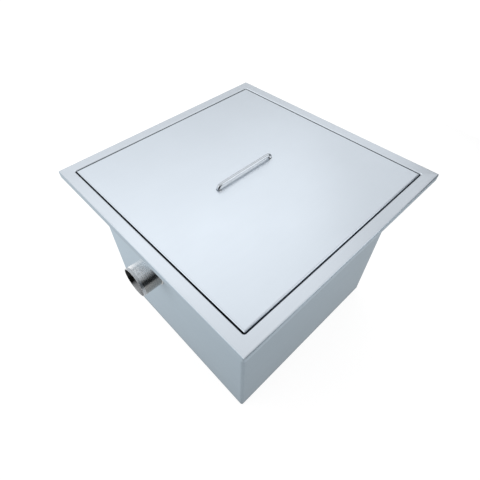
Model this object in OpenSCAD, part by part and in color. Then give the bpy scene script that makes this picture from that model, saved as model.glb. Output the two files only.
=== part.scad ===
// Grease trap for setting into a floor: a folded stainless tank with a wide
// flange frame, a flush lid with a lift-up handle, and a stub pipe on two sides.
// Inside are a strainer basket, two removable baffle plates and a trapped outlet.
// Sizes are in millimetres. +X is the way the water flows and +Z is up.
// The origin is the middle of the tank's underside.

/* [Tank] */
// Outer width of the square tank
tank_side = 340; // [320:1:420]
// Height from the tank's underside to the top of the flange
top_height = 306; // [296:1:340]
// Thickness of the tank, frame and baffle sheet
sheet = 1.5; // [1.2:0.1:2]
// Outside radius of the tank's folded edges
tank_bend = 5; // [3:0.5:8]
// Outside radius of the folds in the fittings on the tank and the lid
fitting_bend = 2.2; // [2.1:0.1:2.6]

/* [Flange frame] */
// How far the lid's recess stands out past the tank wall
shoulder = 12.5; // [11:0.5:20]
// Width of the flange's top face
flange_width = 18.5; // [14:0.5:30]
// Height of the flange's turned-down lip
lip_height = 10; // [8:0.5:16]
// Inside radius of the frame's folds
frame_inner_bend = 0.5; // [0.3:0.1:2]
// Radius of the flange's ground corners
flange_corner = 3; // [2:0.5:6]
// How far the ledge under the lid reaches in past the tank wall
ledge_overhang = 1.5; // [0.5:0.5:4]

/* [Lid] */
// Gap between the lid and the frame all round
lid_gap = 1.5; // [1:0.25:3]
// Height of the lid with its folded edges
lid_height = 15; // [13:0.5:22]
// Thickness of the lid sheet
lid_sheet = 2; // [1.5:0.1:2.2]
// Outside radius of the lid's folds
lid_bend = 2.5; // [2.4:0.1:4]
// Radius of the lid's upright corners
lid_corner = 1.5; // [1:0.5:10]
// Thickness of the gasket under the lid
gasket_thickness = 3; // [2:0.5:5]
// Width of the gasket strip
gasket_width = 10; // [7:0.5:12]
// Gap between the gasket and the fold outside it
gasket_clearance = 0.5; // [0.2:0.1:1]

/* [Lid stiffeners] */
// Distance between the two stiffeners
stiffener_pitch = 180; // [120:5:220]
// Gap between a stiffener's ends and the lid's folded edges
stiffener_end_gap = 13; // [9:0.5:30]
// Width of a stiffener's raised part
stiffener_width = 30; // [20:1:50]
// Width of each of a stiffener's welded flanges
stiffener_flange = 12; // [8:1:20]
// Depth of a stiffener
stiffener_depth = 10; // [7:0.5:11]
// Thickness of the stiffener sheet
stiffener_sheet = 1.2; // [1:0.1:2]

/* [Lid handle] */
// Diameter of the handle rod
handle_rod = 6; // [5:0.5:8]
// Distance between the middles of the handle's legs
handle_span = 107; // [80:1:140]
// Radius of the handle's bends, to the middle of the rod
handle_bend = 6; // [5:0.5:8]
// How far the handle lifts
handle_lift = 35; // [25:1:40]
// Clearance round each leg in the lid
handle_clearance = 0.5; // [0.2:0.05:0.8]
// Diameter of the stop collar on each leg
stop_diameter = 14; // [11:0.5:18]
// Height of a stop collar
stop_height = 5; // [3:0.5:8]
// Length of leg below each stop collar
stop_tail = 2; // [1:0.5:4]
// Gap left between stop collar and lid when the handle is up
stop_gap = 0.5; // [0.3:0.1:1]

/* [Stub pipes] */
// Outside diameter of the stub pipes
pipe_diameter = 50.8; // [42:0.1:55]
// Wall thickness of the stub pipes
pipe_wall = 1.5; // [1.2:0.1:2.5]
// How far each stub pipe stands out of the tank
pipe_reach = 34.5; // [31:0.5:60]
// Distance of the pipes from the tank's middle plane
pipe_offset = 31.5; // [0:0.5:60]
// Height of the inlet pipe's middle
inlet_height = 190; // [180:1:205]
// How much lower the outlet pipe sits
outlet_drop = 20; // [10:1:30]
// Length of inlet pipe inside the tank
inlet_tail = 2; // [1:0.5:6]
// Length of outlet pipe inside the tank
outlet_tail = 30; // [24:1:40]
// Clearance round each pipe in the tank wall
weld_gap = 0.1; // [0.05:0.05:0.3]
// Leg of the weld fillet round each pipe
weld_leg = 1.5; // [1:0.5:4]

/* [Outlet tee] */
// How far the tee's upright pipe stands out past its sleeve
tee_margin = 2.85; // [2:0.05:5]
// Wall thickness of the tee
tee_wall = 1.5; // [1.2:0.1:2.5]
// Height of the tee's lower mouth above the underside
tee_foot = 70; // [45:1:90]
// Height of the tee's upper end above the outlet's middle
tee_rise = 50; // [40:1:60]
// Clearance between the tee's sleeve and the outlet pipe
sleeve_clearance = 0.25; // [0.1:0.05:0.5]
// Gap between the tee's sleeve and the tank wall
sleeve_gap = 3.5; // [2:0.5:6]
// Thickness of the tee's cap
cap_sheet = 2; // [1.5:0.1:3]
// How far the cap stands out past the tee
cap_rim = 3; // [2:0.5:6]
// Depth of the cap's spigot in the tee
cap_depth = 12; // [8:1:18]
// Clearance round the cap's spigot
cap_clearance = 0.4; // [0.2:0.1:0.8]

/* [Strainer basket] */
// Gap between the basket's ends and the tank wall
basket_end_gap = 28.5; // [24:0.5:40]
// Width of the basket along the flow
basket_width = 110; // [96:1:116]
// Depth of the basket
basket_depth = 112; // [90:1:118]
// Thickness of the basket sheet
basket_sheet = 1.2; // [1:0.1:1.6]
// Radius of the basket's folds
basket_bend = 3; // [2.5:0.5:6]
// Width of the rim along the basket's long sides
rim_side = 8; // [6:0.5:9]
// Gap between the rim's ends and the tank wall
rim_gap = 10; // [6:0.5:12]
// Drop from the bottom of the inlet pipe to the rim
rim_drop = 7; // [5:0.5:12]
// Gap between the basket's long side and the inlet wall
basket_gap = 18.5; // [15:0.5:24]
// Width of a drain slot
slot_width = 6; // [5:0.5:8]
// Distance between drain slots
slot_pitch = 18; // [14:1:26]
// Plain band left above and below the side slots
slot_band = 24; // [18:1:32]

/* [Basket bail] */
// Diameter of the bail wire
bail_wire = 4; // [3:0.5:5]
// Radius of the bail's bends, to the middle of the wire
bail_bend = 6; // [5:0.5:8]
// Gap between the bail's legs and the ears
bail_gap = 4; // [2:0.5:6]
// Length of bail wire outside each ear
bail_tail = 5; // [3:0.5:6]
// Clearance round the bail in its ears and over the rim
bail_clearance = 0.3; // [0.2:0.05:0.5]
// Width of a basket ear
ear_width = 16; // [12:1:20]

/* [Basket rails] */
// Gap between the basket's ends and the rails
rail_gap = 6.5; // [4:0.5:9]
// Height of the rail's welded leg
rail_height = 20; // [14:1:30]

/* [Baffles] */
// Gap between a baffle plate's top and the handle's legs above it
baffle_headroom = 26.5; // [10:0.5:60]
// Height of the flow gap under a baffle plate
baffle_underflow = 40; // [30:1:50]
// Distance from the basket's rim to the first baffle plate
baffle_clear = 7; // [6:0.5:9]
// Distance from the second baffle plate to the outlet tee
tee_clear = 33.5; // [20:0.5:36]
// Width of the flange folded at a baffle's top
baffle_flange = 15; // [10:1:16]
// Gap between a baffle plate and the guide's base
baffle_end_gap = 0.5; // [0.3:0.1:1]
// Clearance on each side of a baffle plate in its guide
guide_clearance = 0.75; // [0.4:0.05:1]
// Depth of a guide
guide_depth = 14; // [10:1:20]
// Distance from a guide's top to the baffle's folded flange
guide_margin = 5; // [3:0.5:10]

/* [Hidden] */
$fn = 48;

// Length by which a cutting shape runs past the face that it cuts
past = 1;
// Overlap of two parts that are one sheet on the real piece
lap = 0.5;
// Least radius inside a corner that is sharp on the real sheet
least_corner = 0.3;
// The two sides of the part, front and back, or inlet and outlet
front = -1;
back = 1;
sides = [front, back];

// Levels and widths that the frame, the lid and the tank share
recess_side = tank_side + 2 * shoulder;
flange_side = recess_side + 2 * flange_width;
lid_side = recess_side - 2 * lid_gap;
recess_corner = lid_corner + lid_gap;
recess_depth = lid_height + gasket_thickness;
ledge_top = top_height - recess_depth;
tank_height = ledge_top - sheet;
inner_side = tank_side - 2 * sheet;
inner_half = inner_side / 2;
ledge_side = inner_side - 2 * ledge_overhang;
frame_bend = frame_inner_bend + sheet;
gasket_inset = frame_inner_bend + gasket_clearance;
gasket_side = recess_side - 2 * gasket_inset;
lid_under = top_height - lid_sheet;
stiffener_length = lid_side - 2 * (lid_sheet + stiffener_end_gap);

// Handle, measured from the lid's top face
handle_bar_height = top_height + handle_bend;
stop_top = lid_under - handle_lift - stop_gap;
handle_foot = stop_top - stop_height - stop_tail;

// Stub pipes and the tee on the outlet
pipe_radius = pipe_diameter / 2;
pipe_bore = pipe_radius - pipe_wall;
outlet_height = inlet_height - outlet_drop;
sleeve_bore = pipe_radius + sleeve_clearance;
sleeve_radius = sleeve_bore + tee_wall;
tee_radius = sleeve_radius + tee_margin;
tee_bore = tee_radius - tee_wall;
tee_x = inner_half - outlet_tail - tee_radius;
tee_top = outlet_height + tee_rise;
cap_spigot = tee_bore - cap_clearance;

// Basket, its rim and its bail
basket_length = inner_side - 2 * basket_end_gap;
basket_x = -inner_half + basket_gap + basket_width / 2;
rim_top = inlet_height - pipe_radius - rim_drop;
rim_under = rim_top - basket_sheet;
rim_length = inner_side - 2 * rim_gap;
rim_width = basket_width + 2 * rim_side;
basket_floor = rim_top - basket_depth;
bail_radius = bail_wire / 2;
bail_pivot_height = rim_top + bail_radius + bail_clearance;
bail_length = (basket_width + rim_side) / 2;
bail_leg_y = basket_length / 2 - basket_sheet - bail_gap - bail_radius;
bail_end_y = basket_length / 2 + bail_tail;
rail_reach = basket_end_gap - rail_gap;

// Baffle plates and their guides
first_baffle_x = basket_x + rim_width / 2 + baffle_clear;
second_baffle_x = tee_x - tee_radius - tee_clear;
baffle_height = handle_foot - baffle_headroom - baffle_underflow;
baffle_width = inner_side - 2 * sheet - 2 * baffle_end_gap;
guide_slot = sheet + 2 * guide_clearance;
guide_width = guide_slot + 2 * sheet;
guide_foot = baffle_underflow - sheet;
guide_height = baffle_height - guide_margin;

steel = [0.80, 0.82, 0.84];
polished = [0.88, 0.89, 0.90];
black_rubber = [0.08, 0.08, 0.09];

// Rectangle with rounded corners
module rounded_rectangle(length, width, radius) {
    square([length - 2 * radius, width], center = true);
    square([length, width - 2 * radius], center = true);
    for (x = sides, y = sides)
        translate([x * (length / 2 - radius), y * (width / 2 - radius)])
            circle(radius);
}

// Side view of a tray: a rectangle with its two lower corners rounded
module tray_view(width, height, radius) {
    translate([-width / 2, radius])
        square([width, height - radius]);
    translate([radius - width / 2, 0])
        square([width - 2 * radius, radius]);
    for (x = sides)
        translate([x * (width / 2 - radius), radius])
            circle(radius);
}

// Block with rounded bottom edges and rounded upright corners
module tray_block(length, width, height, fold, corner) {
    intersection() {
        rotate([90, 0, 0])
            linear_extrude(width, center = true)
                tray_view(length, height, fold);
        rotate([90, 0, 90])
            linear_extrude(length, center = true)
                tray_view(width, height, fold);
        linear_extrude(height)
            rounded_rectangle(length, width, corner);
    }
}

// Open tray folded from sheet, with the outside radius of its folds and corners
module folded_tray(length, width, height, thickness, fold, corner) {
    inner_length = length - 2 * thickness;
    inner_width = width - 2 * thickness;
    inner_corner = max(corner - thickness, least_corner);
    difference() {
        tray_block(length, width, height, fold, corner);
        translate([0, 0, thickness])
            tray_block(inner_length, inner_width, height, fold - thickness, inner_corner);
    }
}

// Quarter of a folded bend, turned to the quadrant that it fills
module bend(radius, thickness, turn) {
    intersection() {
        difference() {
            circle(radius);
            circle(radius - thickness);
        }
        rotate(turn)
            square(radius);
    }
}

// Section swept round a square with rounded corners, its X measured from a corner's middle
module sweep_round_square(side, corner) {
    reach = side / 2 - corner;
    for (turn = [0 : 90 : 270])
        rotate(turn) {
            translate([reach, 0, 0])
                rotate([90, 0, 0])
                    linear_extrude(2 * reach, center = true)
                        children();
            translate([reach, reach, 0])
                rotate_extrude(angle = 90)
                    children();
        }
}

// Section mitred round a square, its X measured from the square's middle
module mitre_square(side) {
    reach = side / 2 + past;
    for (turn = [0 : 90 : 270])
        rotate(turn)
            intersection() {
                rotate([90, 0, 90])
                    linear_extrude(side, center = true)
                        children();
                linear_extrude(top_height + past)
                    polygon([[0, 0], [reach, reach], [-reach, reach]]);
            }
}

// Straight tube along Z
module tube(outer, inner, length) {
    difference() {
        cylinder(r = outer, h = length);
        translate([0, 0, -past])
            cylinder(r = inner, h = length + 2 * past);
    }
}

// Long hole with round ends, along Y, as a flat shape
module slot(length, width) {
    square([width, length - width], center = true);
    for (y = sides)
        translate([0, y * (length - width) / 2])
            circle(width / 2);
}

// Tank folded from one sheet, with a hole for each stub pipe
module tank_shell() {
    color(steel)
        difference() {
            folded_tray(tank_side, tank_side, tank_height, sheet, tank_bend, tank_bend);
            pipe_hole(front, inlet_height);
            pipe_hole(back, outlet_height);
        }
}

module pipe_hole(side, height) {
    translate([side * (inner_half - past), pipe_offset, height])
        rotate([0, side * 90, 0])
            cylinder(r = pipe_radius + weld_gap, h = sheet + 2 * past);
}

// Section of the flange's edge: the turned-down lip and its fold
module edge_section() {
    flange_half = flange_side / 2;
    translate([flange_half - sheet, top_height - lip_height])
        square([sheet, lip_height - frame_bend]);
    translate([flange_half - frame_bend, top_height - frame_bend])
        bend(frame_bend, sheet, 0);
    translate([flange_half - frame_bend - lap, top_height - sheet])
        square([lap, sheet]);
}

// Section of the recess: the fold at the flange, the upright wall and the fold at the ledge
module recess_section() {
    wall_foot = ledge_top + frame_inner_bend;
    fold_foot = top_height - frame_bend;
    translate([recess_corner + frame_bend, top_height - sheet])
        square([lap, sheet]);
    translate([recess_corner + frame_bend, fold_foot])
        bend(frame_bend, sheet, 90);
    translate([recess_corner, wall_foot])
        square([sheet, fold_foot - wall_foot]);
    translate([recess_corner - frame_inner_bend, wall_foot])
        bend(frame_bend, sheet, 270);
    translate([recess_corner - frame_inner_bend - lap, tank_height])
        square([lap, sheet]);
}

// Flat of the flange between its two folds
module flange_flat() {
    inside = recess_side + 2 * frame_bend;
    translate([0, 0, top_height - sheet])
        linear_extrude(sheet)
            difference() {
                square(flange_side - 2 * frame_bend, center = true);
                rounded_rectangle(inside, inside, recess_corner + frame_bend);
            }
}

// Ledge that carries the gasket and is welded to the tank's top edge
module ledge_flat() {
    outside = recess_side - 2 * frame_inner_bend;
    translate([0, 0, tank_height])
        linear_extrude(sheet)
            difference() {
                rounded_rectangle(outside, outside, recess_corner - frame_inner_bend);
                square(ledge_side, center = true);
            }
}

// Frame folded three times, with a mitred lip, ground flange corners and a rounded recess
module top_frame() {
    color(steel) {
        intersection() {
            union() {
                mitre_square(flange_side)
                    edge_section();
                flange_flat();
            }
            linear_extrude(top_height + past)
                rounded_rectangle(flange_side, flange_side, flange_corner);
        }
        sweep_round_square(recess_side, recess_corner)
            recess_section();
        ledge_flat();
    }
}

// Lid folded as a shallow pan, with a hole for each leg of the handle
module lid_pan() {
    color(steel)
        difference() {
            translate([0, 0, top_height])
                mirror([0, 0, 1])
                    folded_tray(lid_side, lid_side, lid_height, lid_sheet, lid_bend, lid_corner);
            for (x = sides)
                translate([x * handle_span / 2, 0, lid_under - past])
                    cylinder(r = handle_rod / 2 + handle_clearance, h = lid_sheet + 2 * past);
        }
}

// Half of a stiffener's section: its base, web and welded flange with two folds
module hat_half() {
    half = stiffener_width / 2;
    web_inside = half - stiffener_sheet;
    translate([0, -stiffener_depth])
        square([half - fitting_bend, stiffener_sheet]);
    translate([half - fitting_bend, fitting_bend - stiffener_depth])
        bend(fitting_bend, stiffener_sheet, 270);
    translate([web_inside, fitting_bend - stiffener_depth])
        square([stiffener_sheet, stiffener_depth - 2 * fitting_bend]);
    translate([web_inside + fitting_bend, -fitting_bend])
        bend(fitting_bend, stiffener_sheet, 90);
    translate([web_inside + fitting_bend, -stiffener_sheet])
        square([stiffener_flange + stiffener_sheet - fitting_bend, stiffener_sheet]);
}

// Hat-shaped stiffener welded under the lid
module lid_stiffener(side) {
    color(steel)
        translate([-stiffener_length / 2, side * stiffener_pitch / 2, lid_under])
            rotate([90, 0, 90])
                linear_extrude(stiffener_length)
                    for (turned = [0, 1])
                        mirror([turned, 0])
                            hat_half();
}

// Gasket strip between the ledge and the lid's folded edges
module lid_gasket() {
    color(black_rubber)
        translate([0, 0, ledge_top])
            linear_extrude(gasket_thickness)
                difference() {
                    rounded_rectangle(gasket_side, gasket_side, recess_corner - gasket_inset);
                    square(gasket_side - 2 * gasket_width, center = true);
                }
}

// Handle bent from round rod, with its legs down through the lid
module lid_handle() {
    leg_length = top_height - handle_foot;
    color(polished) {
        for (side = sides) {
            translate([side * handle_span / 2, 0, handle_foot])
                cylinder(d = handle_rod, h = leg_length);
            translate([side * (handle_span / 2 - handle_bend), 0, top_height])
                rotate([90, 0, 0])
                    rod_bend(handle_bend, handle_rod, side < 0 ? 90 : 0);
        }
        translate([handle_bend - handle_span / 2, 0, handle_bar_height])
            rotate([0, 90, 0])
                cylinder(d = handle_rod, h = handle_span - 2 * handle_bend);
    }
}

// Quarter turn of round rod about Z
module rod_bend(radius, rod, turn) {
    rotate(turn)
        rotate_extrude(angle = 90)
            translate([radius, 0])
                circle(d = rod);
}

// Collars on the handle's legs that stop it at the lid's underside
module handle_stops() {
    color(polished)
        for (x = sides)
            translate([x * handle_span / 2, 0, stop_top - stop_height])
                tube(stop_diameter / 2, handle_rod / 2, stop_height);
}

// Stub pipe through the tank wall, with its weld fillet on the outside
module stub_pipe(side, height, tail) {
    length = pipe_reach + sheet + tail;
    color(polished)
        translate([side * (tank_side / 2 + pipe_reach), pipe_offset, height])
            rotate([0, -side * 90, 0])
                difference() {
                    union() {
                        cylinder(r = pipe_radius, h = length);
                        translate([0, 0, pipe_reach - weld_leg])
                            cylinder(r1 = pipe_radius, r2 = pipe_radius + weld_leg, h = weld_leg);
                    }
                    translate([0, 0, -past])
                        cylinder(r = pipe_bore, h = length + 2 * past);
                }
}

module inlet_stub() {
    stub_pipe(front, inlet_height, inlet_tail);
}

module outlet_stub() {
    stub_pipe(back, outlet_height, outlet_tail);
}

// Tee on the outlet: an upright pipe that dips into the water, and a sleeve
module outlet_tee() {
    sleeve_length = inner_half - sleeve_gap - tee_x;
    color(steel)
        difference() {
            union() {
                translate([tee_x, pipe_offset, tee_foot])
                    cylinder(r = tee_radius, h = tee_top - tee_foot);
                translate([tee_x, pipe_offset, outlet_height])
                    rotate([0, 90, 0])
                        cylinder(r = sleeve_radius, h = sleeve_length);
            }
            translate([tee_x, pipe_offset, tee_foot - past])
                cylinder(r = tee_bore, h = tee_top - tee_foot + 2 * past);
            translate([tee_x, pipe_offset, outlet_height])
                rotate([0, 90, 0])
                    cylinder(r = sleeve_bore, h = sleeve_length + past);
        }
}

// Loose cap on the tee, lifted off to clear the pipe
module tee_cap() {
    color(polished)
        translate([tee_x, pipe_offset, tee_top]) {
            cylinder(r = tee_radius + cap_rim, h = cap_sheet);
            translate([0, 0, -cap_depth])
                tube(cap_spigot, cap_spigot - tee_wall, cap_depth);
        }
}

// Basket with drain slots, a hanging rim and two ears for the bail
module strainer_basket() {
    color(steel)
        difference() {
            union() {
                translate([basket_x, 0, basket_floor])
                    folded_tray(
                        basket_width, basket_length, basket_depth,
                        basket_sheet, basket_bend, basket_bend
                    );
                basket_rim();
                for (side = sides)
                    basket_ear(side);
            }
            floor_slots();
            long_side_slots();
            end_slots();
            translate([basket_x, 0, bail_pivot_height])
                rotate([90, 0, 0])
                    cylinder(r = bail_radius + bail_clearance, h = basket_length + 2 * past, center = true);
        }
}

module basket_rim() {
    translate([basket_x, 0, rim_under])
        linear_extrude(basket_sheet)
            difference() {
                rounded_rectangle(rim_width, rim_length, basket_bend);
                rounded_rectangle(
                    basket_width - 2 * basket_sheet,
                    basket_length - 2 * basket_sheet,
                    basket_bend - basket_sheet
                );
            }
}

module basket_ear(side) {
    ear_round = ear_width / 2;
    translate([basket_x, side * (basket_length - basket_sheet) / 2, 0])
        rotate([90, 0, 0])
            linear_extrude(basket_sheet, center = true) {
                translate([-ear_round, rim_under])
                    square([ear_width, bail_pivot_height - rim_under]);
                translate([0, bail_pivot_height])
                    circle(ear_round);
            }
}

// Slots across the basket's floor
module floor_slots() {
    slot_length = basket_width - 2 * slot_band;
    count = floor((basket_length - 2 * slot_band) / slot_pitch);
    for (i = [0 : count])
        translate([basket_x, (i - count / 2) * slot_pitch, basket_floor - past])
            linear_extrude(basket_sheet + 2 * past)
                rotate(90)
                    slot(slot_length, slot_width);
}

// Upright slots in the two long sides, cut straight through both
module long_side_slots() {
    slot_length = basket_depth - 2 * slot_band;
    count = floor((basket_length - 2 * slot_band) / slot_pitch);
    for (i = [0 : count])
        translate([basket_x, (i - count / 2) * slot_pitch, basket_floor + basket_depth / 2])
            rotate([90, 0, 90])
                linear_extrude(basket_width + 2 * past, center = true)
                    slot(slot_length, slot_width);
}

// Upright slots in the two ends, cut straight through both
module end_slots() {
    slot_length = basket_depth - 2 * slot_band;
    count = floor((basket_width - 2 * slot_band) / slot_pitch);
    for (i = [0 : count])
        translate([basket_x + (i - count / 2) * slot_pitch, 0, basket_floor + basket_depth / 2])
            rotate([90, 0, 0])
                linear_extrude(basket_length + 2 * past, center = true)
                    slot(slot_length, slot_width);
}

// Wire bail, folded down on the rim away from the inlet
module basket_bail() {
    bar_y = bail_leg_y - bail_bend;
    color(polished)
        translate([basket_x, 0, bail_pivot_height]) {
            for (side = sides) {
                translate([0, side * bail_end_y, 0])
                    rotate([side * 90, 0, 0])
                        cylinder(d = bail_wire, h = bail_end_y - bail_leg_y);
                translate([0, side * bail_leg_y, 0])
                    sphere(d = bail_wire);
                translate([0, side * bail_leg_y, 0])
                    rotate([0, 90, 0])
                        cylinder(d = bail_wire, h = bail_length - bail_bend);
                translate([bail_length - bail_bend, side * bar_y, 0])
                    rod_bend(bail_bend, bail_wire, side < 0 ? -90 : 0);
            }
            translate([bail_length, 0, 0])
                rotate([90, 0, 0])
                    cylinder(d = bail_wire, h = 2 * bar_y, center = true);
        }
}

// Section of a rail: the leg under the rim, the fold and the leg on the tank wall
module rail_section() {
    translate([inner_half - rail_reach, -sheet])
        square([rail_reach - fitting_bend, sheet]);
    translate([inner_half - fitting_bend, -fitting_bend])
        bend(fitting_bend, sheet, 0);
    translate([inner_half - sheet, -rail_height])
        square([sheet, rail_height - fitting_bend]);
}

// Angle rail on the tank wall that carries one end of the basket's rim
module basket_rail(side) {
    color(steel)
        translate([basket_x, 0, rim_under])
            mirror([0, side < 0 ? 1 : 0, 0])
                rotate([90, 0, 90])
                    linear_extrude(rim_width, center = true)
                        rail_section();
}

// Removable baffle plate with a folded top flange to lift it by
module baffle_plate(x) {
    color(steel)
        translate([x - sheet / 2, 0, baffle_underflow])
            rotate([90, 0, 0])
                linear_extrude(baffle_width, center = true) {
                    square([sheet, baffle_height - fitting_bend]);
                    translate([fitting_bend, baffle_height - fitting_bend])
                        bend(fitting_bend, sheet, 90);
                    translate([fitting_bend, baffle_height - sheet])
                        square([baffle_flange - fitting_bend, sheet]);
                }
}

// Channel on the tank wall that a baffle plate slides down, closed at its foot
module baffle_guide(x, side) {
    color(steel)
        translate([x, side * inner_half, guide_foot])
            mirror([0, side < 0 ? 0 : 1, 0]) {
                linear_extrude(sheet)
                    tray_view(guide_width, guide_depth, fitting_bend);
                linear_extrude(guide_height)
                    difference() {
                        tray_view(guide_width, guide_depth, fitting_bend);
                        translate([0, sheet])
                            tray_view(guide_slot, guide_depth, fitting_bend - sheet);
                    }
            }
}

tank_shell();
top_frame();
inlet_stub();
outlet_stub();
lid_pan();
lid_stiffener(front);  // lid_stiffener_front
lid_stiffener(back);  // lid_stiffener_back
lid_gasket();
lid_handle();
handle_stops();
outlet_tee();
tee_cap();
strainer_basket();
basket_bail();
basket_rail(front);  // basket_rail_front
basket_rail(back);  // basket_rail_back
baffle_plate(first_baffle_x);  // baffle_plate_first
baffle_plate(second_baffle_x);  // baffle_plate_second
baffle_guide(first_baffle_x, front);  // guide_first_front
baffle_guide(first_baffle_x, back);  // guide_first_back
baffle_guide(second_baffle_x, front);  // guide_second_front
baffle_guide(second_baffle_x, back);  // guide_second_back
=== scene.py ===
"""Looks of a square stainless steel grease trap: finishes, weld beads, studio and camera.

Lengths are in metres, in the part's own frame: +X is the way the water flows, +Z is up.
"""
import math

import bpy
from mathutils import Matrix, Vector

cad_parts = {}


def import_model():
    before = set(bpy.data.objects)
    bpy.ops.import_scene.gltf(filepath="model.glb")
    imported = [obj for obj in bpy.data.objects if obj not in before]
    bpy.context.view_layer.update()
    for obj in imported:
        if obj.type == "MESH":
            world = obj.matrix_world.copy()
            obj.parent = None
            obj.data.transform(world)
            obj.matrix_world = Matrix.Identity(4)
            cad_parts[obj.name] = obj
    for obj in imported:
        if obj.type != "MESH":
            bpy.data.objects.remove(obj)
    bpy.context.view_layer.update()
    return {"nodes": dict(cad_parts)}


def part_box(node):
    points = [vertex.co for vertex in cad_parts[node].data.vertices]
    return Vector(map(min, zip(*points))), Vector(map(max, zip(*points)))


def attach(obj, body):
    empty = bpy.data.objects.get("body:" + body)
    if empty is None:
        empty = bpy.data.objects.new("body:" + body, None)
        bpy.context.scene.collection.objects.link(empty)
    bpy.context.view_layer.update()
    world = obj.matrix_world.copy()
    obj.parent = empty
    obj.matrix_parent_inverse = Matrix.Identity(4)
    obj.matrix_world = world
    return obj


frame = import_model()

MM = 0.001

# Camera, found by fitting the flange's and the lid's corners
CAMERA_AZIMUTH = math.radians(-42.04)
CAMERA_ELEVATION = math.radians(48.96)
CAMERA_ROLL = math.radians(-1.44)
CAMERA_PLACE = Vector((-0.3008, -0.2956, 0.6498))
CAMERA_LENS = 26.96
CAMERA_SHIFT = (0.0213, -0.0113)

# Colours, in linear light
SATIN_STEEL = (0.54, 0.59, 0.645)
FRAME_STEEL = (0.517, 0.561, 0.61)
# Lip colours: a duller finish with painted shade, deeper on the ends than on the sides
LIP_STEEL_AND_SHADE = (0.425, 0.505, 0.57)
LIP_END_STEEL_AND_SHADE = (0.36, 0.43, 0.485)
MILL_STEEL = (0.322, 0.392, 0.447)
POLISHED_STEEL = (0.93, 0.94, 0.95)
TUBE_STEEL = (0.60, 0.62, 0.64)
# Painted shade on the pipes' front and underside
TUBE_PAINTED_SHADE = (0.40, 0.395, 0.38)
# Painted shade in the pipes' bores
TUBE_BORE_PAINTED_SHADE = (0.06, 0.06, 0.06)
ROD_STEEL = (0.53, 0.55, 0.58)
# Handle colours: painted shade on its top, painted light on its underside
ROD_PAINTED_SHADE = (0.462, 0.497, 0.537)
ROD_PAINTED_LIGHT = (0.94, 0.93, 0.92)
WELD_STEEL = (0.46, 0.47, 0.47)
BLACK_RUBBER = (0.012, 0.012, 0.013)
# Painted shade for the dark gap round the lid
GAP_PAINTED_SHADE = (0.02, 0.02, 0.02)
WHITE = (1.0, 1.0, 1.0)

# Share by which a colour wanders over a surface
SHEET_WANDER = 0.015
POLISH_WANDER = 0.02
TUBE_WANDER = 0.03
WELD_WANDER = 0.08
RUBBER_WANDER = 0.25

# Roughness at the smoothest and at the roughest spots
SATIN_ROUGHNESS = (0.30, 0.38)
MILL_ROUGHNESS = (0.38, 0.46)
LIP_ROUGHNESS = (0.46, 0.54)
TUBE_ROUGHNESS = (0.22, 0.30)
DULL_TUBE_ROUGHNESS = (0.45, 0.55)
ROD_ROUGHNESS = (0.14, 0.22)
WELD_ROUGHNESS = (0.30, 0.45)
RUBBER_ROUGHNESS = (0.6, 0.8)

# Strength and depth of the fine relief
HAIRLINE_RELIEF = (0.05, 0.1 * MM)
ROD_RELIEF = (0.05, 0.05 * MM)
WELD_RELIEF = (0.2, 0.1 * MM)
RUBBER_RELIEF = (0.3, 0.2 * MM)

# Waves per metre: across and along a hairline, then of marks that run no way in particular
FINE = 1600.0
LONG = 22.0
CLOUD_WAVES = 9.0
WELD_WAVES = 420.0
RUBBER_WAVES = 1400.0
# Levels of finer detail in a noise
MARK_DETAIL = 3.0
CLOUD_DETAIL = 2.0
# Range that most values of a noise lie in
NOISE_RANGE = (0.3, 0.7)

# Anisotropic turn that stretches a highlight across the hairlines, and how much it does on each finish
ACROSS = 0.25
WALL_STRETCH = 0.7
LID_STRETCH = 0.3
FRAME_STRETCH = 0.5
TUBE_STRETCH = 0.75

# Places of a Mix node's sockets: the mask, the two values and the result
MIX_SOCKETS = {"FLOAT": (0, 2, 3, 0), "RGBA": (0, 6, 7, 2)}

# Painted light and shade on the walls: shares of their colour at the foot of the front and at the top
# of the back
WALL_PAINTED_LIGHT_TONES = (0.835, 1.32)
EVEN_TONES = (1.0, 1.0)

# Shade round the foot: the heights where it starts and is full, and the share of the colour left
FOOT_LINE = (16.0 * MM, 4.0 * MM)
FOOT_SHADE = 0.8

# Painted shade in the gap round the lid: its reach out from the lid, and the depths where it starts and
# is full
PAINTED_SHADE_REACH = 2.6 * MM
PAINTED_SHADE_DEPTH = (0.7 * MM, 1.7 * MM)
# Reach of the painted shade in from the lid's edge, on its fold over the inlet
FOLD_REACH = 1.0 * MM

# Upward part of the frame's normal: where the flange turns into its lip, and where its underside starts
LIP_TURN = (0.88, 0.72)
UNDERSIDE_TURN = -0.5

# Direction that the handle's side with painted light faces, and the shares of it where that side starts
# and is full
ROD_UNDER = (0.0, -0.5, -0.87)
ROD_TURN = (0.2, 0.5)

# Direction that a pipe's side with painted shade faces, and the shares of it where the painted shade
# starts and is full
TUBE_UNDER = (0.0, -0.866, -0.5)
PAINTED_SHADE_TURN = (-0.05, 0.40)

# Pipes: their radius, the end left without polish, and how softly it starts
TUBE_RADIUS = 25.4 * MM
TUBE_END = 4.5 * MM
TUBE_END_BLEND = 0.3 * MM
# Heights from the axis between which a bore turns from painted shade to painted light on its floor
BORE_PAINTED_LIGHT_HEIGHTS = (-17.0 * MM, -21.0 * MM)

# Weld beads: their section and ripple, and the points along each path
BEAD_RADIUS = 1.7 * MM
BEAD_RIPPLE = 0.09
BEAD_PITCH = 2.2 * MM
BEAD_SIDES = 10
TUBE_WELD_POINTS = 480
WALL_WELD_POINTS = 450
CORNER_WELD_POINTS = 12
TANK_CORNER = 5.0 * MM

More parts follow.
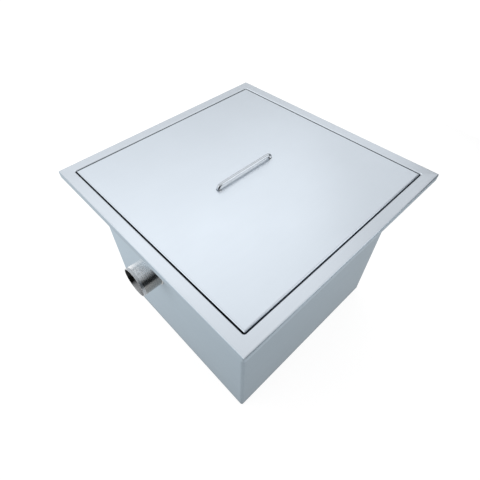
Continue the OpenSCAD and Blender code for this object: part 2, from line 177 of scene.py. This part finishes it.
# Studio
FLOOR_SIZE = 14.0
FLOOR_COLOUR = (0.18, 0.18, 0.18)
FLOOR_GLOW = 0.9
LID_MIDDLE = Vector((0.0, 0.0, 0.306))
CARD_COLOUR = (0.04, 0.04, 0.04)
CARD_STEPS = 16
# Dark cards: name, first and last bearing in degrees, distance, foot and top
CARDS = (
    ("room_behind", -165.0, -84.0, 0.9, 0.0, 0.9),
    ("room_side", -84.0, -46.0, 0.9, 0.0, 0.3),
    ("room_end", -46.0, 0.0, 0.9, 0.0, 0.7),
    ("room_back", 20.0, 70.0, 2.0, 0.55, 0.77),
)
# Lamps: name, bearing and elevation in degrees, distance, width and height, brightness
SOFTBOXES = (
    ("softbox_top", 58.0, 61.0, 2.2, (2.2, 1.2), 0.36),
    ("softbox_back", 64.0, 45.0, 2.2, (2.6, 0.9), 0.44),
    ("softbox_end", 5.0, 30.0, 2.2, (1.2, 0.5), 0.3),
    ("softbox_right", -52.0, 18.0, 2.0, (0.8, 1.3), 1.0),
    ("softbox_left", 155.0, 25.0, 2.2, (2.2, 1.4), 0.92),
)


def opaque(colour):
    """A colour with its alpha."""
    return (*colour, 1.0)


def shade(material):
    """The material's node tree, emptied but for a Principled shader and its output."""
    material.use_nodes = True
    tree = material.node_tree
    tree.nodes.clear()
    output = tree.nodes.new("ShaderNodeOutputMaterial")
    surface = tree.nodes.new("ShaderNodeBsdfPrincipled")
    tree.links.new(surface.outputs["BSDF"], output.inputs["Surface"])
    return tree, surface


def fill(tree, socket, value):
    """Puts a plain value on a socket, or links another socket to it."""
    if isinstance(value, bpy.types.NodeSocket):
        tree.links.new(value, socket)
    else:
        socket.default_value = value


def operation(tree, kind, name, values):
    """A node of a kind that works out a named operation on sockets and plain values."""
    node = tree.nodes.new(kind)
    node.operation = name
    for socket, value in zip(node.inputs, values):
        fill(tree, socket, value)
    return node


def calc(tree, name, *values):
    """The result of an operation on numbers."""
    return operation(tree, "ShaderNodeMath", name, values).outputs["Value"]


def vector_calc(tree, name, *values):
    """The result of an operation on vectors."""
    return operation(tree, "ShaderNodeVectorMath", name, values).outputs["Vector"]


def dot(tree, first, second):
    """The dot product of two vectors."""
    return operation(tree, "ShaderNodeVectorMath", "DOT_PRODUCT", (first, second)).outputs["Value"]


def coordinates(tree, kind):
    """The surface's own place or normal, in the part's frame."""
    return tree.nodes.new("ShaderNodeTexCoord").outputs[kind]


def axes(tree, vector):
    """The X, Y and Z of a vector."""
    split = tree.nodes.new("ShaderNodeSeparateXYZ")
    tree.links.new(vector, split.inputs["Vector"])
    return [split.outputs[axis] for axis in "XYZ"]


def mapped(tree, value, source, target):
    """A value moved from one range to another and held inside it."""
    node = tree.nodes.new("ShaderNodeMapRange")
    ends = ("From Min", "From Max", "To Min", "To Max")
    for end, number in zip(ends, (*source, *target)):
        node.inputs[end].default_value = number
    tree.links.new(value, node.inputs["Value"])
    return node.outputs["Result"]


def step(tree, value, start, full):
    """A mask that goes from 0 at the start value to 1 at the full one."""
    return mapped(tree, value, (start, full), (0.0, 1.0))


def spread(tree, noise, limits):
    """A noise moved to the range between two limits."""
    return mapped(tree, noise, NOISE_RANGE, limits)


def blended(tree, kind, mask, first, second):
    """The first value where the mask is 0 and the second where it is 1."""
    node = tree.nodes.new("ShaderNodeMix")
    node.data_type = kind
    *places, result = MIX_SOCKETS[kind]
    for place, value in zip(places, (mask, first, second)):
        fill(tree, node.inputs[place], value)
    return node.outputs[result]


def mixed(tree, mask, first, second):
    """Two numbers, blended by a mask."""
    return blended(tree, "FLOAT", mask, first, second)


def mixed_colour(tree, mask, first, second):
    """Two colours, blended by a mask."""
    return blended(tree, "RGBA", mask, first, second)


def stretched_noise(tree, waves, detail=MARK_DETAIL):
    """Noise over the object's own coordinates, with a count of waves per metre on each axis."""
    stretch = tree.nodes.new("ShaderNodeMapping")
    stretch.inputs["Scale"].default_value = waves
    noise = tree.nodes.new("ShaderNodeTexNoise")
    noise.inputs["Scale"].default_value = 1.0
    noise.inputs["Detail"].default_value = detail
    tree.links.new(coordinates(tree, "Object"), stretch.inputs["Vector"])
    tree.links.new(stretch.outputs["Vector"], noise.inputs["Vector"])
    return noise.outputs["Fac"]


def clouds(tree):
    """Broad, faint unevenness of rolled sheet."""
    return stretched_noise(tree, (CLOUD_WAVES,) * 3, CLOUD_DETAIL)


def tinted(tree, noise, colour, wander):
    """A colour that wanders by a small share as a noise does."""
    ramp = tree.nodes.new("ShaderNodeValToRGB")
    first, last = ramp.color_ramp.elements
    first.position, last.position = NOISE_RANGE
    first.color = opaque([c * (1 - wander) for c in colour])
    last.color = opaque([c * (1 + wander) for c in colour])
    tree.links.new(noise, ramp.inputs["Fac"])
    return ramp.outputs["Color"]


def relief(tree, surface, height, strength, depth):
    """Fine relief on the surface from a height between 0 and 1."""
    bump = tree.nodes.new("ShaderNodeBump")
    bump.inputs["Strength"].default_value = strength
    bump.inputs["Distance"].default_value = depth
    tree.links.new(height, bump.inputs["Height"])
    tree.links.new(bump.outputs["Normal"], surface.inputs["Normal"])


def metal(name):
    """A bare metal material, ready for its colour, roughness and grain."""
    material = bpy.data.materials.new(name)
    tree, surface = shade(material)
    surface.inputs["Metallic"].default_value = 1.0
    return material, tree, surface


def grain_along(tree, surface, amount, direction):
    """Stretches the highlights across hairlines that run in a direction."""
    surface.inputs["Anisotropic"].default_value = amount
    surface.inputs["Anisotropic Rotation"].default_value = ACROSS
    tree.links.new(direction, surface.inputs["Tangent"])


def around(tree, axis):
    """The direction round an axis of the part."""
    node = tree.nodes.new("ShaderNodeTangent")
    node.direction_type = "RADIAL"
    node.axis = axis
    return node.outputs["Tangent"]


def recess(tree):
    """Mask of the walls round the lid: 1 where the frame faces in towards the lid and 0 elsewhere."""
    _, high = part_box("lid_pan")
    place = coordinates(tree, "Object")
    x, y, _ = axes(tree, place)
    out = calc(tree, "MAXIMUM", calc(tree, "ABSOLUTE", x), calc(tree, "ABSOLUTE", y))
    near = calc(tree, "LESS_THAN", out, high[0] + PAINTED_SHADE_REACH)
    level = vector_calc(tree, "MULTIPLY", place, (1.0, 1.0, 0.0))
    outward = dot(tree, coordinates(tree, "Normal"), level)
    return calc(tree, "MULTIPLY", near, calc(tree, "LESS_THAN", outward, 0.0))


def deep(tree, z, top):
    """Mask of what lies down in the gap round the lid, below the lid's top."""
    start, full = PAINTED_SHADE_DEPTH
    return step(tree, z, top - start, top - full)


def wall_painted_shade(tree, walls):
    """The part of a mask of the recess's walls that gets painted shade: down in the gap, but not in
    front.
    """
    low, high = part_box("lid_pan")
    _, y, z = axes(tree, coordinates(tree, "Object"))
    behind = calc(tree, "GREATER_THAN", y, low[1])
    return calc(tree, "MULTIPLY", walls, calc(tree, "MULTIPLY", deep(tree, z, high[2]), behind))


def fold_painted_shade(tree):
    """Mask of the painted shade on the lid's fold over the inlet, down in the gap."""
    low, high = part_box("lid_pan")
    x, _, z = axes(tree, coordinates(tree, "Object"))
    beside = calc(tree, "LESS_THAN", x, low[0] + FOLD_REACH)
    return calc(tree, "MULTIPLY", beside, deep(tree, z, high[2]))


def sheet_steel(name, colour, painted_light_tones, roughness, grain, stretch, axis):
    """Rolled sheet with hairlines round an axis of the part.

    Its tone is painted from darker at the front's foot to lighter at the back's top, as painted light
    and shade, with a shade round the foot.
    """
    material, tree, surface = metal(name)
    hairlines = stretched_noise(tree, grain)
    low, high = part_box("tank_shell")
    _, y, z = axes(tree, coordinates(tree, "Object"))
    back = step(tree, y, low[1], high[1])
    up = step(tree, z, low[2], high[2])
    haze = clouds(tree)
    dark, light = [tinted(tree, haze, [tone * c for c in colour], SHEET_WANDER) for tone in painted_light_tones]
    # Painted light and shade: darker at the front's foot, lighter at the back's top
    plain = mixed_colour(tree, calc(tree, "MULTIPLY", calc(tree, "ADD", back, up), 0.5), dark, light)
    shaded = opaque([FOOT_SHADE * painted_light_tones[0] * c for c in colour])
    toned = mixed_colour(tree, step(tree, z, *FOOT_LINE), plain, shaded)
    # Painted shade on the lid's fold, down in the gap
    gap_shaded = mixed_colour(tree, fold_painted_shade(tree), toned, opaque(GAP_PAINTED_SHADE))
    tree.links.new(gap_shaded, surface.inputs["Base Color"])
    tree.links.new(spread(tree, hairlines, roughness), surface.inputs["Roughness"])
    relief(tree, surface, hairlines, *HAIRLINE_RELIEF)
    grain_along(tree, surface, stretch, around(tree, axis))
    return material


def frame_steel(name):
    """Satin flange whose grain runs along each side to the mitre, with a duller finish on its lip and
    painted shade there, darker on the ends than on the sides.

    Its underside is painted bright as painted light, and the recess round the lid gets painted shade.
    """
    material, tree, surface = metal(name)
    x, y, _ = axes(tree, coordinates(tree, "Object"))
    at_ends = calc(tree, "GREATER_THAN", calc(tree, "ABSOLUTE", x), calc(tree, "ABSOLUTE", y))
    hairlines = mixed(
        tree,
        at_ends,
        stretched_noise(tree, (LONG, FINE, FINE)),
        stretched_noise(tree, (FINE, LONG, FINE)),
    )
    _, _, upward = axes(tree, coordinates(tree, "Normal"))
    walls = recess(tree)
    turned = step(tree, calc(tree, "ABSOLUTE", upward), *LIP_TURN)
    lip = calc(tree, "MULTIPLY", turned, calc(tree, "SUBTRACT", 1.0, walls))
    haze = clouds(tree)
    # Painted shade on the lip, darker on the ends than on the sides
    lip_colour_and_shade = mixed_colour(
        tree,
        at_ends,
        tinted(tree, haze, LIP_STEEL_AND_SHADE, SHEET_WANDER),
        tinted(tree, haze, LIP_END_STEEL_AND_SHADE, SHEET_WANDER),
    )
    plain = mixed_colour(tree, lip, tinted(tree, haze, FRAME_STEEL, SHEET_WANDER), lip_colour_and_shade)
    # Painted light: the underside gets the bright polished colour
    painted_lit_underside = calc(tree, "LESS_THAN", upward, UNDERSIDE_TURN)
    underside_painted_light = mixed_colour(tree, painted_lit_underside, plain, tinted(tree, haze, POLISHED_STEEL, POLISH_WANDER))
    # Painted shade on the recess's walls, down in the gap
    gap_shaded = mixed_colour(tree, wall_painted_shade(tree, walls), underside_painted_light, opaque(GAP_PAINTED_SHADE))
    tree.links.new(gap_shaded, surface.inputs["Base Color"])
    roughness = mixed(
        tree, lip, spread(tree, hairlines, SATIN_ROUGHNESS), spread(tree, hairlines, LIP_ROUGHNESS)
    )
    tree.links.new(roughness, surface.inputs["Roughness"])
    relief(tree, surface, hairlines, *HAIRLINE_RELIEF)
    along = tree.nodes.new("ShaderNodeCombineXYZ")
    tree.links.new(calc(tree, "SUBTRACT", 1.0, at_ends), along.inputs["X"])
    tree.links.new(at_ends, along.inputs["Y"])
    grain_along(tree, surface, FRAME_STRETCH, along.outputs["Vector"])
    return material


def tube_steel(name, node_name):
    """Tube polished outside, with painted shade in front and below, and plain at its open end.

    Inside it is painted dark as painted shade, but for its floor, painted bright as painted light.
    """
    low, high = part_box(node_name)
    middle = Vector([(a + b) / 2 for a, b in zip(low, high)])
    end = low[0] if middle.x < 0 else high[0]
    material, tree, surface = metal(name)
    place = coordinates(tree, "Object")
    normal = coordinates(tree, "Normal")
    x, _, z = axes(tree, place)
    across = vector_calc(tree, "MULTIPLY", place, (0.0, 1.0, 1.0))
    from_axis = vector_calc(tree, "SUBTRACT", across, (0.0, middle.y, middle.z))
    inside = calc(tree, "LESS_THAN", dot(tree, normal, from_axis), 0.0)
    from_end = calc(tree, "ABSOLUTE", calc(tree, "SUBTRACT", x, end))
    plain_end = calc(tree, "SUBTRACT", 1.0, step(tree, from_end, TUBE_END - TUBE_END_BLEND, TUBE_END))
    hairlines = stretched_noise(tree, (FINE, LONG, LONG))
    haze = clouds(tree)
    end_colour = tinted(tree, haze, TUBE_STEEL, TUBE_WANDER)
    # Painted shade on the pipe's front and underside
    polished_and_shaded = mixed_colour(
        tree,
        step(tree, dot(tree, normal, TUBE_UNDER), *PAINTED_SHADE_TURN),
        tinted(tree, haze, POLISHED_STEEL, POLISH_WANDER),
        tinted(tree, haze, TUBE_PAINTED_SHADE, POLISH_WANDER),
    )
    outside = mixed_colour(tree, plain_end, polished_and_shaded, end_colour)
    # Painted shade in the bore, and painted light on its floor
    painted_lit_floor = step(tree, calc(tree, "SUBTRACT", z, middle.z), *BORE_PAINTED_LIGHT_HEIGHTS)
    bore = mixed_colour(tree, painted_lit_floor, tinted(tree, haze, TUBE_BORE_PAINTED_SHADE, TUBE_WANDER), end_colour)
    tree.links.new(mixed_colour(tree, inside, outside, bore), surface.inputs["Base Color"])
    roughness = mixed(
        tree,
        calc(tree, "MAXIMUM", inside, plain_end),
        spread(tree, hairlines, TUBE_ROUGHNESS),
        spread(tree, hairlines, DULL_TUBE_ROUGHNESS),
    )
    tree.links.new(roughness, surface.inputs["Roughness"])
    relief(tree, surface, hairlines, *HAIRLINE_RELIEF)
    round_tube = vector_calc(tree, "CROSS_PRODUCT", from_axis, (1.0, 0.0, 0.0))
    grain_along(tree, surface, TUBE_STRETCH, round_tube)
    return material


def rod_steel(name, above, below):
    """Polished rod and wire with fine marks of drawing, and a colour above and below, which on the
    handle are painted shade above and painted light below.
    """
    material, tree, surface = metal(name)
    marks = stretched_noise(tree, (LONG, FINE, FINE))
    haze = clouds(tree)
    colour = mixed_colour(
        tree,
        step(tree, dot(tree, coordinates(tree, "Normal"), ROD_UNDER), *ROD_TURN),
        tinted(tree, haze, above, POLISH_WANDER),
        tinted(tree, haze, below, POLISH_WANDER),
    )
    tree.links.new(colour, surface.inputs["Base Color"])
    tree.links.new(spread(tree, marks, ROD_ROUGHNESS), surface.inputs["Roughness"])
    relief(tree, surface, marks, *ROD_RELIEF)
    return material


def weld_steel(name):
    """Weld metal, a little duller than the sheet and with a mottled tone."""
    material, tree, surface = metal(name)
    marks = stretched_noise(tree, (WELD_WAVES,) * 3)
    tree.links.new(tinted(tree, marks, WELD_STEEL, WELD_WANDER), surface.inputs["Base Color"])
    tree.links.new(spread(tree, marks, WELD_ROUGHNESS), surface.inputs["Roughness"])
    relief(tree, surface, marks, *WELD_RELIEF)
    return material


def rubber(name):
    """Matt black rubber with a fine grain."""
    material = bpy.data.materials.new(name)
    tree, surface = shade(material)
    grain = stretched_noise(tree, (RUBBER_WAVES,) * 3)
    tree.links.new(tinted(tree, grain, BLACK_RUBBER, RUBBER_WANDER), surface.inputs["Base Color"])
    tree.links.new(spread(tree, grain, RUBBER_ROUGHNESS), surface.inputs["Roughness"])
    relief(tree, surface, grain, *RUBBER_RELIEF)
    return material


def dress_nodes():
    """Gives each CAD node its finish."""
    wall_grain = (LONG, LONG, FINE)
    walls = sheet_steel(
        "mill_steel", MILL_STEEL, WALL_PAINTED_LIGHT_TONES, MILL_ROUGHNESS, wall_grain, WALL_STRETCH, "Z"
    )
    lid_grain = (LONG, FINE, LONG)
    lid = sheet_steel(
        "satin_steel_along_x", SATIN_STEEL, EVEN_TONES, SATIN_ROUGHNESS, lid_grain, LID_STRETCH, "Y"
    )
    rod = rod_steel("polished_rod", ROD_STEEL, ROD_STEEL)
    finish = {
        "lid_pan": lid,
        "top_frame": frame_steel("satin_frame"),
        "lid_gasket": rubber("black_rubber"),
        # Handle: painted shade on top, painted light underneath
        "lid_handle": rod_steel("shaded_and_lit_rod", ROD_PAINTED_SHADE, ROD_PAINTED_LIGHT),
        "handle_stops": rod,
        "tee_cap": rod,
        "basket_bail": rod,
        "inlet_stub": tube_steel("inlet_tube", "inlet_stub"),
        "outlet_stub": tube_steel("outlet_tube", "outlet_stub"),
    }
    for node_name, node in frame["nodes"].items():
        node.data.materials.clear()
        node.data.materials.append(finish.get(node_name, walls))


def bead(name, path, material):
    """Rippled weld bead along a closed path of (point, two directions across it)."""
    length = sum((path[i][0] - path[i - 1][0]).length for i in range(len(path)))
    ripples = round(length / BEAD_PITCH)
    points = []
    for i, (middle, first, second) in enumerate(path):
        wave = math.cos(2 * math.pi * ripples * i / len(path))
        radius = BEAD_RADIUS * (1 + BEAD_RIPPLE * wave)
        for j in range(BEAD_SIDES):
            angle = 2 * math.pi * j / BEAD_SIDES
            points.append(middle + radius * (math.cos(angle) * first + math.sin(angle) * second))
    faces = []
    for i in range(len(path)):
        here = i * BEAD_SIDES
        following = (i + 1) % len(path) * BEAD_SIDES
        for j in range(BEAD_SIDES):
            k = (j + 1) % BEAD_SIDES
            faces.append((here + j, following + j, following + k, here + k))
    mesh = bpy.data.meshes.new(name)
    mesh.from_pydata(points, [], faces)
    for polygon in mesh.polygons:
        polygon.use_smooth = True
    mesh.materials.append(material)
    piece = bpy.data.objects.new(name, mesh)
    bpy.context.scene.collection.objects.link(piece)
    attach(piece, "trap")


def tube_weld(name, node_name, side, material):
    """Bead round a stub pipe where it meets the tank wall."""
    tank_low, tank_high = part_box("tank_shell")
    wall = tank_low[0] if side < 0 else tank_high[0]
    low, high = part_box(node_name)
    middle = Vector((wall, (low[1] + high[1]) / 2, (low[2] + high[2]) / 2))
    path = []
    for i in range(TUBE_WELD_POINTS):
        angle = 2 * math.pi * i / TUBE_WELD_POINTS
        outward = Vector((0.0, math.cos(angle), math.sin(angle)))
        path.append((middle + TUBE_RADIUS * outward, outward, Vector((1.0, 0.0, 0.0))))
    bead(name, path, material)


def frame_weld(name, material):
    """Bead round the tank's top edge, under the frame's ledge."""
    _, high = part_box("tank_shell")
    reach = high[0] - TANK_CORNER
    rise = Vector((0.0, 0.0, high[2]))
    up = Vector((0.0, 0.0, 1.0))
    path = []
    for quarter in range(4):
        facing = quarter * math.pi / 2
        outward = Vector((math.cos(facing), math.sin(facing), 0.0))
        along = Vector((-math.sin(facing), math.cos(facing), 0.0))
        for i in range(WALL_WELD_POINTS):
            shift = reach * (2 * i / WALL_WELD_POINTS - 1)
            path.append(((reach + TANK_CORNER) * outward + shift * along + rise, outward, up))
        corner = reach * (outward + along)
        for i in range(CORNER_WELD_POINTS):
            angle = facing + (math.pi / 2) * i / CORNER_WELD_POINTS
            direction = Vector((math.cos(angle), math.sin(angle), 0.0))
            path.append((corner + TANK_CORNER * direction + rise, direction, up))
    bead(name, path, material)


def stage_piece(name, points, faces):
    """A matt mesh that belongs to the studio and not to the part."""
    mesh = bpy.data.meshes.new(name)
    mesh.from_pydata(points, [], faces)
    piece = bpy.data.objects.new(name, mesh)
    bpy.context.scene.collection.objects.link(piece)
    material = bpy.data.materials.new(name)
    mesh.materials.append(material)
    tree, surface = shade(material)
    surface.inputs["Roughness"].default_value = 1.0
    surface.inputs["Specular IOR Level"].default_value = 0.0
    return piece, tree, surface


def floor():
    """Pale floor that keeps the object's shadow and reads as white."""
    half = FLOOR_SIZE / 2
    points = [(-half, -half, 0), (half, -half, 0), (half, half, 0), (-half, half, 0)]
    _, tree, surface = stage_piece("floor", points, [(0, 1, 2, 3)])
    surface.inputs["Base Color"].default_value = opaque(FLOOR_COLOUR)
    surface.inputs["Emission Color"].default_value = opaque(WHITE)
    rays = tree.nodes.new("ShaderNodeLightPath")
    shown = calc(tree, "MAXIMUM", rays.outputs["Is Camera Ray"], rays.outputs["Is Glossy Ray"])
    shown = calc(tree, "MAXIMUM", shown, rays.outputs["Is Transmission Ray"])
    tree.links.new(calc(tree, "MULTIPLY", shown, FLOOR_GLOW), surface.inputs["Emission Strength"])


def world():
    """White surroundings at a plain level."""
    made = bpy.data.worlds.new("studio")
    bpy.context.scene.world = made
    made.use_nodes = True
    background = made.node_tree.nodes["Background"]
    background.inputs["Color"].default_value = opaque(WHITE)
    background.inputs["Strength"].default_value = 1.0


def dark_card(name, start, end, radius, foot, top):
    """Dark card round the object between two bearings in degrees, for the metal to mirror."""
    points = []
    for i in range(CARD_STEPS + 1):
        angle = math.radians(start + (end - start) * i / CARD_STEPS)
        x = radius * math.cos(angle)
        y = radius * math.sin(angle)
        points += [(x, y, foot), (x, y, top)]
    faces = [(2 * i, 2 * i + 2, 2 * i + 3, 2 * i + 1) for i in range(CARD_STEPS)]
    piece, _, surface = stage_piece(name, points, faces)
    surface.inputs["Base Color"].default_value = opaque(CARD_COLOUR)
    piece.visible_camera = False


def softbox(name, bearing, elevation, distance, size, radiance):
    """Lamp that faces the lid from a bearing in degrees, with the same brightness whatever its size."""
    turn = math.radians(bearing)
    lift = math.radians(elevation)
    level = Vector((math.cos(turn), math.sin(turn), 0.0))
    direction = math.cos(lift) * level + Vector((0.0, 0.0, math.sin(lift)))
    width, height = size
    lamp = bpy.data.lights.new(name, "AREA")
    lamp.shape = "RECTANGLE"
    lamp.size = width
    lamp.size_y = height
    lamp.energy = radiance * math.pi * width * height
    piece = bpy.data.objects.new(name, lamp)
    piece.location = LID_MIDDLE + distance * direction
    piece.rotation_euler = (-direction).to_track_quat("-Z", "Y").to_euler()
    piece.visible_camera = False
    bpy.context.scene.collection.objects.link(piece)


def camera():
    """Camera at the photograph's place, with its slight roll."""
    right = Vector((math.cos(CAMERA_AZIMUTH), math.sin(CAMERA_AZIMUTH), 0.0))
    back = Vector((
        math.sin(CAMERA_AZIMUTH) * math.cos(CAMERA_ELEVATION),
        -math.cos(CAMERA_AZIMUTH) * math.cos(CAMERA_ELEVATION),
        math.sin(CAMERA_ELEVATION),
    ))
    up = back.cross(right)
    turn = Matrix((right, up, back)).transposed() @ Matrix.Rotation(CAMERA_ROLL, 3, "Z")
    lens = bpy.data.cameras.new("camera")
    lens.lens = CAMERA_LENS
    lens.shift_x, lens.shift_y = CAMERA_SHIFT
    piece = bpy.data.objects.new("camera", lens)
    piece.matrix_world = Matrix.Translation(CAMERA_PLACE) @ turn.to_4x4()
    bpy.context.scene.collection.objects.link(piece)
    bpy.context.scene.camera = piece


dress_nodes()
weld = weld_steel("weld_steel")
tube_weld("inlet_weld", "inlet_stub", -1, weld)
tube_weld("outlet_weld", "outlet_stub", 1, weld)
frame_weld("frame_weld", weld)

floor()
world()
for card in CARDS:
    dark_card(*card)
for lamp_row in SOFTBOXES:
    softbox(*lamp_row)
camera()
bpy.context.scene.view_settings.view_transform = "Standard"
